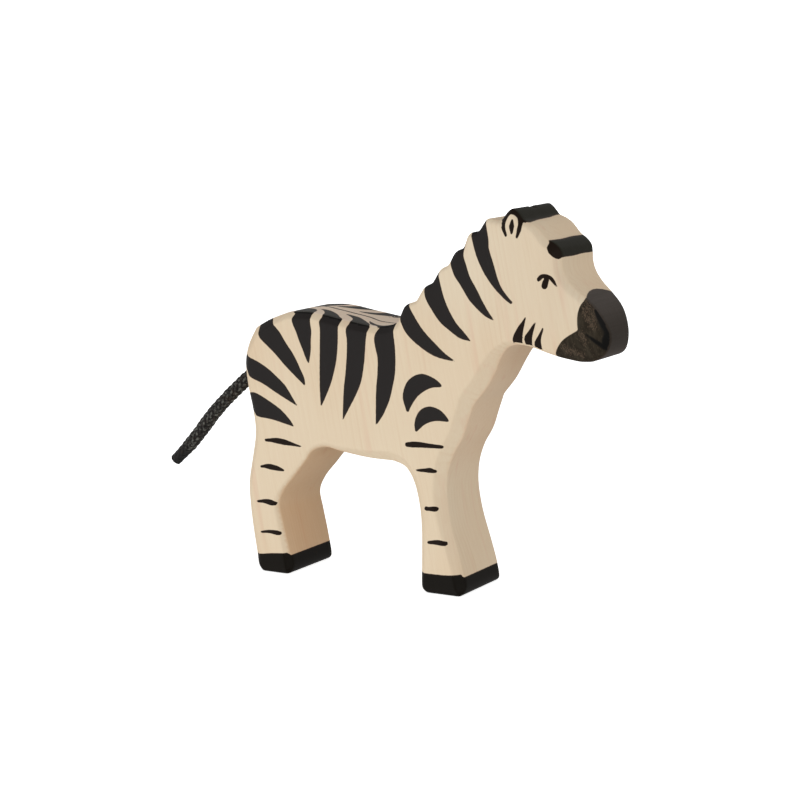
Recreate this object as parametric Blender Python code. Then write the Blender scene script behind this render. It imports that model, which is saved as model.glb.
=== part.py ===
"""A zebra figurine, sawn and carved from one thick wooden board, with a braided cord for a tail.

The board stands on its two feet in the XZ plane, its flanks face -Y and +Y, and the head looks along +X.
The pose is written in shares of the figure's height: one unit is a thousandth of that height.
"""
import bmesh
import bpy
import numpy as np
from mathutils import Vector
from mathutils.geometry import delaunay_2d_cdt

# Driving sizes in metres
HEIGHT = 0.1195
BOARD = 0.028
CORD_DIAMETER = 0.0040
HOLE_DEPTH = 0.0060
CLEARANCE = 0.0003

# How finely curves are divided
POINT_SPACING = 0.0013
CORD_SPACING = 0.0088
CURVE_STEPS = 24
HOLE_SIDES = 20
CORD_ROUNDNESS = 4

# Chamfers knifed along the edges in metres, each named after the stretch of the outline that it follows
CHAMFER_SOLE = 0.0010
CHAMFER_FORELEG_FRONT = 0.0026
CHAMFER_CHEST = 0.0038
CHAMFER_THROAT = 0.0041
CHAMFER_JAW = 0.0011
CHAMFER_NOSE = 0.0014
CHAMFER_BROW = 0.0021
CHAMFER_EAR = 0.0014
CHAMFER_MANE = 0.0011
CHAMFER_BACK = 0.0020
CHAMFER_RUMP = 0.0026
CHAMFER_HIND_FRONT = 0.0020
CHAMFER_ARCH = 0.0008
CHAMFER_BELLY = 0.0036
CHAMFER_FORELEG_REAR = 0.0017

# Where the edge bends more tightly than its chamfer is wide, this share of the width must stay clear
FOLD_SHARE = 0.97

# Muzzle: both flanks are shaved towards the nose
MUZZLE_START = 360
MUZZLE_END = 522
MUZZLE_SHARE = 0.63
MUZZLE_EASE = 1.15
MUZZLE_FACETS = 6
# The last stretch before the nose is rounded off by this further share of the thickness
NOSE_ROUND_START = 490
NOSE_ROUND = 0.13
NOSE_FACETS = 3

# Mane: saw teeth that climb the neck, from the foot of the first to the foot of the last
MANE_TEETH = 6
MANE_FIRST = (-49, 700)
MANE_LAST = (180, 939)
MANE_SPREAD = 0.92
TOOTH_RISE = (21, 39)
TOOTH_ROUND = 9
TIP_HEIGHT = 0.3
# The teeth are cut by hand: each tip is moved this far, from the withers up
TIP_SHIFTS = ((-1, 5), (2, 0), (2, 0), (0, 0), (-5, 2), (3, -1))

# Ears: a shallow groove across their top parts the two
GROOVE_WIDTH = 0.0036
GROOVE_DEPTH = 0.0010
GROOVE_OVERSHOOT = 0.0012

# Landmarks of the outline, in shares of the height from the floor and from the middle of the length
TOE_BACK = (131, 0)
TOE_FRONT = (143, 27)
CHEST_CORNER = (159, 501)
THROAT_TOP = (290, 663)
CHIN = (452, 627)
NOSE_TIP = (519, 685)
FORELOCK_BOTTOM = (402, 881)
FORELOCK_TOP = (380, 920)
EAR_FRONT = (302, 972)
EAR_BACK = (237, 962)
CROUP = (-379, 704)
RUMP_BEND = (-485, 656)
HEEL_TOP = (-489, 42)
HEEL_SOLE = (-463, 0)
HIND_TOE_SOLE = (-384, 0)
HIND_TOE = (-372, 27)
HOCK_FRONT = (-321, 318)
ARCH_TOP = (-270, 354)
BELLY_END = (-74, 332)
FORE_HEEL_TOP = (17, 32)
FORE_HEEL_SOLE = (36, 0)

# The tail leaves the rump here and runs through these places, as (back, up) in shares of the height
TAIL_ROOT = (-516, 548)
TAIL_ROUTE = ((-578, 497), (-638, 443), (-685, 395), (-729, 342), (-768, 298), (-815, 252))

WOOD_COLOUR = (0.74, 0.60, 0.43, 1.0)
WOOD_ROUGHNESS = 0.6
CORD_COLOUR = (0.03, 0.03, 0.028, 1.0)
CORD_ROUGHNESS = 0.9


def metres(place):
    """A place on the board, from shares of the height to metres."""
    return np.array(place, float) * HEIGHT / 1000.0


def evenly(line, spacing):
    """The same line with points about one spacing apart."""
    run = np.concatenate([[0.0], np.cumsum(np.linalg.norm(np.diff(line, axis=0), axis=1))])
    count = max(2, int(round(run[-1] / spacing)) + 1)
    places = np.linspace(0.0, run[-1], count)
    return np.stack([np.interp(places, run, line[:, k]) for k in (0, 1)], axis=1)


def smooth(knots):
    """A centripetal Catmull-Rom spline through the knots, finely divided."""
    first = 2 * knots[0] - knots[1]
    last = 2 * knots[-1] - knots[-2]
    pts = np.vstack([first, knots, last])
    steps = np.sqrt(np.linalg.norm(np.diff(pts, axis=0), axis=1))
    t = np.concatenate([[0.0], np.cumsum(steps)])
    dense = []
    for k in range(1, len(pts) - 2):
        u = np.linspace(t[k], t[k + 1], CURVE_STEPS, endpoint=False)[:, None]
        a = [(t[k + j + 1] - u) / (t[k + j + 1] - t[k + j]) * pts[k + j]
             + (u - t[k + j]) / (t[k + j + 1] - t[k + j]) * pts[k + j + 1] for j in (-1, 0, 1)]
        b = [(t[k + j + 2] - u) / (t[k + j + 2] - t[k + j]) * a[j + 1]
             + (u - t[k + j]) / (t[k + j + 2] - t[k + j]) * a[j + 2] for j in (-1, 0)]
        dense.append((t[k + 1] - u) / (t[k + 1] - t[k]) * b[0] + (u - t[k]) / (t[k + 1] - t[k]) * b[1])
    dense.append(knots[-1:])
    return np.vstack(dense)


def flow(*places):
    """A rounded stretch of the outline through the places."""
    return evenly(smooth(np.array([metres(p) for p in places])), POINT_SPACING)


def straight(start, end):
    """A straight stretch, as its two ends only."""
    return np.array([metres(start), metres(end)])


def mane():
    """The saw teeth from the poll down to the withers, each a steep rise with a rounded tip and a flat."""
    first = np.array(MANE_FIRST, float)
    last = np.array(MANE_LAST, float)
    rise = np.array(TOOTH_RISE, float)
    steep = rise / np.linalg.norm(rise)
    feet = [first + (last - first) * (i / (MANE_TEETH - 1)) ** MANE_SPREAD for i in range(MANE_TEETH)]
    ahead = feet[1:] + [np.array(EAR_BACK, float)]
    line = []
    for foot, following, shift in zip(reversed(feet), reversed(ahead), reversed(TIP_SHIFTS)):
        tip = foot + rise + shift
        flat = (following - tip) / np.linalg.norm(following - tip)
        crest = tip + (flat - steep) * TOOTH_ROUND * TIP_HEIGHT
        line += [tip + flat * TOOTH_ROUND, crest, tip - steep * TOOTH_ROUND, foot]
    return np.array([metres(p) for p in line])


def outline():
    """The whole outline, counter-clockwise seen from the right flank, with the chamfer at every point."""
    stretches = (
        (straight(FORE_HEEL_SOLE, TOE_BACK), (CHAMFER_SOLE, CHAMFER_SOLE)),
        (flow(TOE_BACK, (140, 8), TOE_FRONT), (CHAMFER_SOLE, CHAMFER_FORELEG_FRONT)),
        (flow(TOE_FRONT, (135, 63), (119, 117), (100, 175), (89, 226), (84, 276), (88, 322), (103, 367),
              (128, 411), (144, 459), CHEST_CORNER), (CHAMFER_FORELEG_FRONT, CHAMFER_CHEST)),
        (flow(CHEST_CORNER, (196, 548), (216, 584), (239, 628), (263, 654), THROAT_TOP),
         (CHAMFER_THROAT, CHAMFER_THROAT, CHAMFER_JAW)),
        (flow(THROAT_TOP, (326, 659), (362, 649), (402, 637), CHIN), (CHAMFER_JAW, CHAMFER_JAW)),
        (flow(CHIN, (484, 630), (508, 647), NOSE_TIP, (511, 720), (490, 757), (462, 785), (431, 812),
              (411, 838), (403, 862), FORELOCK_BOTTOM), (CHAMFER_NOSE, CHAMFER_BROW)),
        (flow(FORELOCK_BOTTOM, (398, 902), FORELOCK_TOP), (CHAMFER_BROW, CHAMFER_BROW)),
        (flow(FORELOCK_TOP, (367, 926), (343, 951), (326, 963), EAR_FRONT), (CHAMFER_BROW, CHAMFER_EAR)),
        (flow(EAR_FRONT, (284, 993), (271, 1000), (257, 990), (246, 975), EAR_BACK), (CHAMFER_EAR, CHAMFER_EAR)),
        (mane(), (CHAMFER_MANE, CHAMFER_MANE)),
        (flow(MANE_FIRST, (-68, 690), (-115, 682), (-217, 694), (-310, 707), CROUP), (CHAMFER_BACK, CHAMFER_BACK)),
        (flow(CROUP, (-441, 680), RUMP_BEND), (CHAMFER_BACK, CHAMFER_RUMP)),
        (flow(RUMP_BEND, (-508, 613), (-519, 566), (-513, 500), (-497, 430), (-491, 375), (-502, 300), (-512, 235),
              (-509, 175), (-500, 110), HEEL_TOP), (CHAMFER_RUMP, CHAMFER_RUMP)),
        (flow(HEEL_TOP, (-479, 14), HEEL_SOLE), (CHAMFER_RUMP, CHAMFER_SOLE)),
        (straight(HEEL_SOLE, HIND_TOE_SOLE), (CHAMFER_SOLE, CHAMFER_SOLE)),
        (flow(HIND_TOE_SOLE, (-375, 8), HIND_TOE), (CHAMFER_SOLE, CHAMFER_HIND_FRONT)),
        (flow(HIND_TOE, (-385, 82), (-400, 142), (-410, 190), (-394, 228), (-358, 272), HOCK_FRONT),
         (CHAMFER_HIND_FRONT, CHAMFER_ARCH)),
        (flow(HOCK_FRONT, (-306, 340), ARCH_TOP, (-225, 346), (-145, 335), BELLY_END), (CHAMFER_ARCH, CHAMFER_BELLY)),
        (flow(BELLY_END, (-38, 320), (-12, 285), (6, 224), (14, 160), (16, 90), FORE_HEEL_TOP),
         (CHAMFER_BELLY, CHAMFER_FORELEG_REAR)),
        (flow(FORE_HEEL_TOP, (21, 10), FORE_HEEL_SOLE), (CHAMFER_FORELEG_REAR, CHAMFER_SOLE)),
    )
    places = []
    chamfers = []
    for line, widths in stretches:
        way = np.linspace(0.0, 1.0, len(line))
        places.append(line[:-1])
        chamfers.append(np.interp(way, np.linspace(0.0, 1.0, len(widths)), widths)[:-1])
    return np.vstack(places), np.concatenate(chamfers)


def inset(places, widths):
    """The outline moved inwards by its chamfers; where that would fold over, points share a neighbour's place."""
    along = np.roll(places, -1, axis=0) - np.roll(places, 1, axis=0)
    inward = np.stack([-along[:, 1], along[:, 0]], axis=1) / np.linalg.norm(along, axis=1)[:, None]
    moved = places + inward * widths[:, None]
    room = np.linalg.norm(moved[:, None] - places[None], axis=2) - FOLD_SHARE * widths[None]
    sound = room.min(axis=1) >= 0.0
    count = len(places)
    keep = np.arange(count)
    for i in np.flatnonzero(~sound):
        reach = next(r for r in range(1, count) if sound[i - r] or sound[(i + r) % count])
        keep[i] = i - reach if sound[i - reach] else (i + reach) % count
    return moved, keep % count


def filled(ring):
    """Triangles that fill a closed ring of places, as indices into the ring."""
    count = len(ring)
    sides = [(i, (i + 1) % count) for i in range(count)]
    result = delaunay_2d_cdt([Vector(p) for p in ring], sides, [], 0, 1e-7, True)
    origins = result[3]
    triangles = np.array([[origins[k][0] for k in face] for face in result[2]])
    x, z = ring[triangles].mean(axis=1).T[:, :, None]
    start = ring[:, :, None].transpose(1, 2, 0)
    step = np.roll(start, -1, axis=2) - start
    level = np.where(step[1] == 0.0, 1.0, step[1])
    crossed = (start[1] > z) != (start[1] + step[1] > z)
    ahead = start[0] + (z - start[1]) / level * step[0] > x
    return triangles[(crossed & ahead).sum(axis=1) % 2 == 1]


def node(name, data, colour, roughness):
    """An object of the scene with its own plain material."""
    material = bpy.data.materials.new(name)
    material.use_nodes = True
    shader = material.node_tree.nodes["Principled BSDF"]
    shader.inputs["Base Color"].default_value = colour
    shader.inputs["Roughness"].default_value = roughness
    shader.inputs["Metallic"].default_value = 0.0
    thing = bpy.data.objects.new(name, data)
    thing.data.materials.append(material)
    bpy.context.scene.collection.objects.link(thing)
    return thing


def muzzle_span():
    """Where the shaving of the muzzle starts, where its rounding starts, and where both end along X."""
    return metres((MUZZLE_START, NOSE_ROUND_START, MUZZLE_END))


def muzzle_share(x):
    """How much of the board's thickness is left at x."""
    start, bend, end = muzzle_span()
    way = min(max((x - start) / (end - start), 0.0), 1.0)
    rounding = min(max((x - bend) / (end - bend), 0.0), 1.0)
    return 1.0 - (1.0 - MUZZLE_SHARE) * way ** MUZZLE_EASE - NOSE_ROUND * rounding ** 2


def carved_board():
    """The board as one closed mesh: two flanks, their chamfers and the sawn edge between them."""
    places, widths = outline()
    inner, keep = inset(places, widths)
    count = len(places)
    corners = [k for i, k in enumerate(keep) if k != keep[i - 1]]
    flank_triangles = filled(inner[corners])
    mesh = bmesh.new()
    rows = []
    for side in (-1.0, 1.0):
        edge = [mesh.verts.new((x, side * (BOARD / 2 - w), z)) for (x, z), w in zip(places, widths)]
        made = {k: mesh.verts.new((inner[k][0], side * BOARD / 2, inner[k][1])) for k in corners}
        rows.append((edge, made))
        for triangle in flank_triangles:
            mesh.faces.new([made[corners[t]] for t in triangle])
    (near_edge, _), (far_edge, _) = rows
    for i in range(count):
        j = (i + 1) % count
        mesh.faces.new((near_edge[i], far_edge[i], far_edge[j], near_edge[j]))
        for edge, made in rows:
            face = [edge[i], edge[j], made[keep[j]]]
            if keep[i] != keep[j]:
                face.append(made[keep[i]])
            mesh.faces.new(face)
    start, bend, end = muzzle_span()
    for x in (*np.linspace(start, bend, MUZZLE_FACETS, endpoint=False),
              *np.linspace(bend, end, NOSE_FACETS, endpoint=False)):
        everything = mesh.verts[:] + mesh.edges[:] + mesh.faces[:]
        bmesh.ops.bisect_plane(mesh, geom=everything, dist=1e-6, plane_co=(x, 0, 0), plane_no=(1, 0, 0))
    for v in mesh.verts:
        v.co.y *= muzzle_share(v.co.x)
    bmesh.ops.triangulate(mesh, faces=[f for f in mesh.faces if len(f.verts) > 3])
    bmesh.ops.recalc_face_normals(mesh, faces=mesh.faces[:])
    data = bpy.data.meshes.new("zebra_body")
    mesh.to_mesh(data)
    mesh.free()
    return data


def tail_start():
    """Where the cord leaves the rump, and the direction that it leaves in."""
    root = metres(TAIL_ROOT)
    ahead = metres(TAIL_ROUTE[0]) - root
    return root, ahead / np.linalg.norm(ahead)


def tail_route():
    """The cord's middle line from the bottom of its hole to its free end, in the XZ plane."""
    root, ahead = tail_start()
    buried = root - ahead * (HOLE_DEPTH - CLEARANCE)
    knots = np.vstack([buried, root, [metres(p) for p in TAIL_ROUTE]])
    return evenly(smooth(knots), CORD_SPACING)


def cut(target, cutter):
    """Cut one shape out of the target; the cutter stays in the file as a hidden guide."""
    cutter.hide_render = True
    cutter.display_type = "WIRE"
    modifier = target.modifiers.new(cutter.name, "BOOLEAN")
    modifier.operation = "DIFFERENCE"
    modifier.solver = "EXACT"
    modifier.object = cutter


def tail_hole():
    """A round cutter along the first stretch of the cord, wider than the cord by the clearance."""
    root, ahead = tail_start()
    outside = CORD_DIAMETER * 2
    middle = root + ahead * (outside - HOLE_DEPTH) / 2
    radius = CORD_DIAMETER / 2 + CLEARANCE
    mesh = bmesh.new()
    bmesh.ops.create_cone(mesh, cap_ends=True, segments=HOLE_SIDES, radius1=radius, radius2=radius,
                          depth=HOLE_DEPTH + outside)
    data = bpy.data.meshes.new("tail_hole_cutter")
    mesh.to_mesh(data)
    mesh.free()
    thing = bpy.data.objects.new("tail_hole_cutter", data)
    thing.location = (middle[0], 0.0, middle[1])
    thing.rotation_euler = Vector((ahead[0], 0.0, ahead[1])).to_track_quat("Z", "Y").to_euler()
    bpy.context.scene.collection.objects.link(thing)
    return thing


def ear_groove():
    """A three-sided bar along X whose lower edge scores the top of the ears between the near and the far one."""
    top = HEIGHT + GROOVE_OVERSHOOT
    bottom = HEIGHT - GROOVE_DEPTH
    half = GROOVE_WIDTH / 2 * (top - bottom) / GROOVE_DEPTH
    back = metres(EAR_BACK)[0]
    front = metres(EAR_FRONT)[0] + GROOVE_WIDTH
    corners = [(x, y, z) for x in (back, front) for y, z in ((0.0, bottom), (half, top), (-half, top))]
    sides = ((0, 2, 1), (3, 4, 5), (0, 1, 4, 3), (1, 2, 5, 4), (2, 0, 3, 5))
    data = bpy.data.meshes.new("ear_groove_cutter")
    data.from_pydata(corners, [], sides)
    thing = bpy.data.objects.new("ear_groove_cutter", data)
    bpy.context.scene.collection.objects.link(thing)
    return thing


def body():
    """The wooden zebra, one piece."""
    thing = node("zebra_body", carved_board(), WOOD_COLOUR, WOOD_ROUGHNESS)
    cut(thing, tail_hole())
    cut(thing, ear_groove())


def tail():
    """The braided cord, as a plain round tube that bows a little as it hangs."""
    route = tail_route()
    curve = bpy.data.curves.new("tail_cord", "CURVE")
    curve.dimensions = "3D"
    curve.bevel_depth = CORD_DIAMETER / 2
    curve.bevel_resolution = CORD_ROUNDNESS
    curve.use_fill_caps = True
    line = curve.splines.new("POLY")
    line.points.add(len(route) - 1)
    for point, (x, z) in zip(line.points, route):
        point.co = (x, 0.0, z, 1.0)
    node("tail_cord", curve, CORD_COLOUR, CORD_ROUGHNESS)


for leftover in list(bpy.data.objects):
    bpy.data.objects.remove(leftover)
body()
tail()
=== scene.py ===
import bpy
import numpy as np
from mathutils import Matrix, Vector
from mathutils.geometry import delaunay_2d_cdt


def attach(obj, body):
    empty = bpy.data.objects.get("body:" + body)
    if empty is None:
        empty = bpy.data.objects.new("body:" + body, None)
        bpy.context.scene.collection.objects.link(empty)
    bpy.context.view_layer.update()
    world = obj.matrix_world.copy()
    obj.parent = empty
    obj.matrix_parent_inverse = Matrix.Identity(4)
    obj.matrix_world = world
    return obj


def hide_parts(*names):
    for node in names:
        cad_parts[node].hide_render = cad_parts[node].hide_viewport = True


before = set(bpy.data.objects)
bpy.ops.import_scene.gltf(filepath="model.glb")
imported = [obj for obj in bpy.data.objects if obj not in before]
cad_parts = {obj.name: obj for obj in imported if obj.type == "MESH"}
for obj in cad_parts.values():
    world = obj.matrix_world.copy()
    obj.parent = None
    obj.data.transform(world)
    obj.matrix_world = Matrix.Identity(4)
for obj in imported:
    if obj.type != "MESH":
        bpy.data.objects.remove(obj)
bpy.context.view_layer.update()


# The camera, a long lens a little above the ears, looks at the zebra's right flank and partly at its chest.
# It stands between five and six body lengths away, so the board's edges hardly draw together.

bpy.ops.object.camera_add(location=(0.3314, -0.6201, 0.1731), rotation=np.radians((80.7, 0.0, 29.0)))
camera = bpy.context.object
camera.data.lens = 103.5
camera.data.sensor_width = 36.0
camera.data.clip_start = 0.01
bpy.context.scene.camera = camera


# The tail: a black cord of round-braided polyester yarn, 4 mm thick and 50 mm long outside the wood.
# Its upper end is glued into a hole in the rump, and its lower end is cut square and sealed with heat.

CORD = 0.0040
TAIL_ROOT = (-0.06166, 0.06549)
TAIL_KNOTS = ((-0.05726, 0.06911), TAIL_ROOT, (-0.06907, 0.05939), (-0.07624, 0.05294), (-0.08186, 0.04720),
              (-0.08712, 0.04087), (-0.09178, 0.03561), (-0.09739, 0.03011))
CORD_SIDES = 120
CORD_ROWS = 760
YARNS = 10
YARN_PITCH = 0.00225
YARN_RELIEF = 0.00068
YARN_CROWN, YARN_DIP, YARN_LOW, YARN_SPAN = 0.9, 0.5, 0.3, 1.2
SLACK, SLACK_WAVES = 0.17, (1900, 700)
WANDER, WANDER_WAVES = 0.00005, (610, 240)
SEALED_LENGTH = 0.008
MELTED, MELTED_LEVEL, SEALED_SHRINK = 0.6, 0.3, 0.05
END_ROUND, END_TUCK = 0.00022, 0.05


def smooth(knots, steps=24):
    """A centripetal Catmull-Rom spline: between two knots, each point is three times blended from the four
    knots around it."""
    knots = np.array(knots, float)
    knots = np.vstack([2 * knots[0] - knots[1], knots, 2 * knots[-1] - knots[-2]])
    t = np.concatenate([[0.0], np.cumsum(np.sqrt(np.linalg.norm(np.diff(knots, axis=0), axis=1)))])
    pieces = []
    for k in range(1, len(knots) - 2):
        u = np.linspace(t[k], t[k + 1], steps, endpoint=False)[:, None]
        a = [(t[k + j + 1] - u) / (t[k + j + 1] - t[k + j]) * knots[k + j]
             + (u - t[k + j]) / (t[k + j + 1] - t[k + j]) * knots[k + j + 1] for j in (-1, 0, 1)]
        b = [(t[k + j + 2] - u) / (t[k + j + 2] - t[k + j]) * a[j + 1]
             + (u - t[k + j]) / (t[k + j + 2] - t[k + j]) * a[j + 2] for j in (-1, 0)]
        pieces.append((t[k + 1] - u) / (t[k + 1] - t[k]) * b[0] + (u - t[k]) / (t[k + 1] - t[k]) * b[1])
    return np.vstack(pieces + [knots[-2:-1]])


def evenly(line, count):
    """The line with that many points at equal distances."""
    run = np.concatenate([[0.0], np.cumsum(np.linalg.norm(np.diff(line, axis=0), axis=1))])
    places = np.linspace(0.0, run[-1], count)
    return np.stack([np.interp(places, run, line[:, k]) for k in range(line.shape[1])], axis=1)


def piece(name, points, faces, attributes=(), crisp=()):
    """A mesh object at the origin from points and faces, with a number at each point for every attribute,
    smooth but for the edges between two crisp points."""
    mesh = bpy.data.meshes.new(name)
    mesh.from_pydata(points, [], [tuple(f) for f in faces])
    for label, values in dict(attributes).items():
        layer = mesh.attributes.new(label, "FLOAT", "POINT")
        layer.data.foreach_set("value", np.asarray(values, np.float32))
    mesh.shade_smooth()
    if len(crisp):
        ends = np.empty(2 * len(mesh.edges), int)
        mesh.edges.foreach_get("vertices", ends)
        sharp = crisp[ends.reshape(-1, 2)].all(axis=1)
        layer = mesh.attributes.new("sharp_edge", "BOOLEAN", "EDGE")
        layer.data.foreach_set("value", sharp)
    thing = bpy.data.objects.new(name, mesh)
    bpy.context.scene.collection.objects.link(thing)
    return thing


def braid(around, along):
    """A round braid: yarns run at u = around + along and v = around - along, each over two of the other set
    and then under two. Gives the height and the place across the yarn on top, both from 0 to 1."""
    u = around + along
    v = around - along
    back_u = np.sqrt(1.0 - YARN_CROWN * (2 * (u % 1.0) - 1) ** 2)
    back_v = np.sqrt(1.0 - YARN_CROWN * (2 * (v % 1.0) - 1) ** 2)
    height_u = back_u + YARN_DIP * np.sin(np.pi / 2 * (v + np.floor(u)))
    height_v = back_v - YARN_DIP * np.sin(np.pi / 2 * (u + np.floor(v)))
    height = (np.maximum(height_u, height_v) - YARN_LOW) / YARN_SPAN
    return np.clip(height, 0.0, 1.0), np.where(height_u > height_v, u % 1.0, v % 1.0)


def cord_surface():
    """A closed tube along the tail's curve: radius = yarn backs by angle and length, smoother where the end
    is sealed, and each end face drawn from the middle."""
    line = evenly(smooth(TAIL_KNOTS), CORD_ROWS)
    ahead = np.gradient(line, axis=0)
    ahead /= np.linalg.norm(ahead, axis=1)[:, None]
    span = np.linalg.norm(np.diff(line, axis=0), axis=1).sum()
    run = np.linspace(0.0, span, CORD_ROWS)[:, None]
    angle = np.linspace(0.0, 2 * np.pi, CORD_SIDES, endpoint=False)[None]
    slack = SLACK * np.sin(run * SLACK_WAVES[0] + 2 * angle) * np.sin(run * SLACK_WAVES[1] - angle)
    height, across = braid(YARNS * angle / (2 * np.pi) + slack, run / YARN_PITCH - slack)
    sealed = np.clip((run - span + SEALED_LENGTH) / (MELTED * SEALED_LENGTH), 0.0, 1.0)
    height = height * (1 - MELTED * sealed) + MELTED * MELTED_LEVEL * sealed
    wander = WANDER * np.sin(run * WANDER_WAVES[0] + np.sin(angle * 2)) * np.cos(run * WANDER_WAVES[1])
    radius = (CORD / 2 + YARN_RELIEF * (height - 0.5) + wander) * (1 - SEALED_SHRINK * sealed)
    rounding = np.clip((span - run) / END_ROUND, 0.0, 1.0)
    radius = radius * (1 - END_TUCK + END_TUCK * np.sqrt(1 - (1 - rounding) ** 2))
    side = np.cos(angle) * radius
    up = np.sin(angle) * radius
    points = np.stack([line[:, :1] - ahead[:, 1:] * up, side, line[:, 1:] + ahead[:, :1] * up], axis=2)
    points = points.reshape(-1, 3)
    ends = np.array([[line[0, 0], 0.0, line[0, 1]], [line[-1, 0], 0.0, line[-1, 1]]])
    row, turn = np.meshgrid(np.arange(CORD_ROWS - 1), np.arange(CORD_SIDES), indexing="ij")
    here = row * CORD_SIDES + turn
    beside = row * CORD_SIDES + (turn + 1) % CORD_SIDES
    quads = np.stack([here, beside, beside + CORD_SIDES, here + CORD_SIDES], axis=2).reshape(-1, 4)
    spot = np.arange(CORD_SIDES)
    following = (spot + 1) % CORD_SIDES
    first = CORD_ROWS * CORD_SIDES
    last = first - CORD_SIDES
    start_cap = np.stack([following, spot, np.full(CORD_SIDES, first)], axis=1)
    end_cap = np.stack([last + spot, last + following, np.full(CORD_SIDES, first + 1)], axis=1)
    sealing = np.broadcast_to(sealed, height.shape)
    faces = quads.tolist() + start_cap.tolist() + end_cap.tolist()
    marks = {"yarn_height": np.append(height.ravel(), (0.4, 0.4)),
             "yarn_across": np.append(across.ravel(), (0.5, 0.5)),
             "sealed": np.append(sealing.ravel(), (0.0, 1.0))}
    return np.vstack([points, ends]), faces, marks


class Shade:
    """A socket of a material that can be reckoned with: + - * / with numbers and other sockets add Math
    nodes."""

    def __init__(self, tree, socket=None):
        self.tree = tree
        self.socket = socket

    def node(self, kind, settings, values, out=0):
        """Adds a node: its settings first, then the values or links of its sockets."""
        made = self.tree.nodes.new(kind)
        for key, value in settings.items():
            setattr(made, key, value)
        for key, value in values.items():
            if isinstance(value, Shade):
                self.tree.links.new(value.socket, made.inputs[key])
            else:
                made.inputs[key].default_value = value
        return Shade(self.tree, made.outputs[out])

    def reckon(self, operation, a, b=0.0):
        """One of the Math node's operations, on this or that value or socket."""
        return self.node("ShaderNodeMath", {"operation": operation}, {0: a, 1: b})

    def __add__(self, other):
        return self.reckon("ADD", self, other)

    __radd__ = __add__

    def __sub__(self, other):
        return self.reckon("SUBTRACT", self, other)

    def __rsub__(self, other):
        return self.reckon("SUBTRACT", other, self)

    def __mul__(self, other):
        return self.reckon("MULTIPLY", self, other)

    __rmul__ = __mul__

    def __truediv__(self, other):
        return self.reckon("DIVIDE", self, other)

    def step(self, low, high):
        """A soft step from 0 at low to 1 at high."""
        limits = {"Value": self, "From Min": low, "From Max": high}
        return self.node("ShaderNodeMapRange", {"interpolation_type": "SMOOTHSTEP"}, limits)

    def blend(self, colour_a, colour_b, way="MIX"):
        """Colour a where this is 0 and colour b where it is 1."""
        return self.node("ShaderNodeMix", {"data_type": "RGBA", "blend_type": way},
                         {0: self, 6: colour_a, 7: colour_b}, 2)

    def mark(self, label):
        """The number that the mesh holds under that label."""
        return self.node("ShaderNodeAttribute", {"attribute_name": label}, {}, "Fac")

    def place(self, lean=0.0):
        """The point on the object, in metres, along axes that lean back by that angle."""
        spot = self.node("ShaderNodeTexCoord", {}, {}, "Object")
        turned = {"Vector": spot, "Angle": lean}
        return self.node("ShaderNodeVectorRotate", {"rotation_type": "Y_AXIS"}, turned)

    def noise(self, scale, stretch=(1.0, 1.0, 1.0), detail=2.0, shift=0.0, lean=0.0):
        """Noise of that many lumps to the metre, times the stretch of each axis."""
        spot = self.node("ShaderNodeMapping", {}, {"Vector": self.place(lean), "Scale": stretch,
                                                   "Location": (shift, shift, shift)})
        return self.node("ShaderNodeTexNoise", {}, {"Vector": spot, "Scale": scale, "Detail": detail}, "Fac")


def finish(name, **constants):
    """A new material, its shader and a Shade to build on; a name like Sheen_Weight sets that socket of the
    shader."""
    material = bpy.data.materials.new(name)
    material.use_nodes = True
    shader = material.node_tree.nodes["Principled BSDF"]
    for key, value in constants.items():
        shader.inputs[key.replace("_", " ")].default_value = value
    return material, shader, Shade(material.node_tree)


def connect(shade, socket):
    """Leads the shade into a socket of the shader."""
    shade.tree.links.new(shade.socket, socket)


# The cord's colours: an almost black painted shade for the gaps between the yarns, two blacks of the yarns
# themselves, and a pale grey painted highlight for the yarn crowns.
CORD_GAP_SHADE = (0.0012, 0.0011, 0.0008, 1.0)
CORD_BLACK = (0.014, 0.012, 0.010, 1.0)
CORD_BROWN = (0.028, 0.018, 0.012, 1.0)
CORD_HIGHLIGHT = (0.125, 0.125, 0.11, 1.0)
PLY_ANGLE = 31.4  # radians across one yarn, so five plies

tail_material, shader, shade = finish("braided_cord", Specular_IOR_Level=0.2, Sheen_Weight=0.05,
                                      Sheen_Roughness=0.5)
yarn = shade.mark("yarn_height")
seal = shade.mark("sealed")
hairs = shade.noise(2600.0, detail=3.0)
plies = shade.reckon("SINE", shade.mark("yarn_across") * PLY_ANGLE + hairs * 9.0)
lots = shade.noise(900.0, detail=1.0, shift=3.0)
# Painted highlight: where a yarn stands high, broken up by noise, the colour turns pale grey as if a lamp
# glinted on it; less so on the sealed end.
crown_highlight = (yarn + (hairs - 0.5) * 1.3 + (lots - 0.5) * 1.6 + plies * 0.08 - seal * 0.75).step(0.66, 1.30)
# Painted shade: the low parts between the yarns turn almost black.
deep = yarn.step(0.10, 0.75) * (1 - seal * 0.7)
black_yarn = shade.noise(420.0, detail=2.0, shift=8.0).step(0.5, 0.7).blend(CORD_BLACK, CORD_BROWN)
colour = crown_highlight.blend(deep.blend(CORD_GAP_SHADE, black_yarn), CORD_HIGHLIGHT)
connect(colour, shader.inputs["Base Color"])
connect(0.62 - seal * 0.12, shader.inputs["Roughness"])
fuzz = {"Height": hairs + plies * 0.3, "Strength": 0.5, "Distance": 0.00010}
connect(shade.node("ShaderNodeBump", {}, fuzz, "Normal"), shader.inputs["Normal"])

tail_cord = piece("braided_tail", *cord_surface())
tail_cord.data.materials.append(tail_material)
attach(tail_cord, "root")
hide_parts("tail_cord")
tail_path = np.insert(evenly(smooth(TAIL_KNOTS), 30), 1, 0.0, axis=1)


# The zebra's body: one piece of pale wood sawn from a board 28 mm thick, its grain running up the legs.
# Both flanks keep the sanded face of the board; the edges are cut off with a knife all round.

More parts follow.
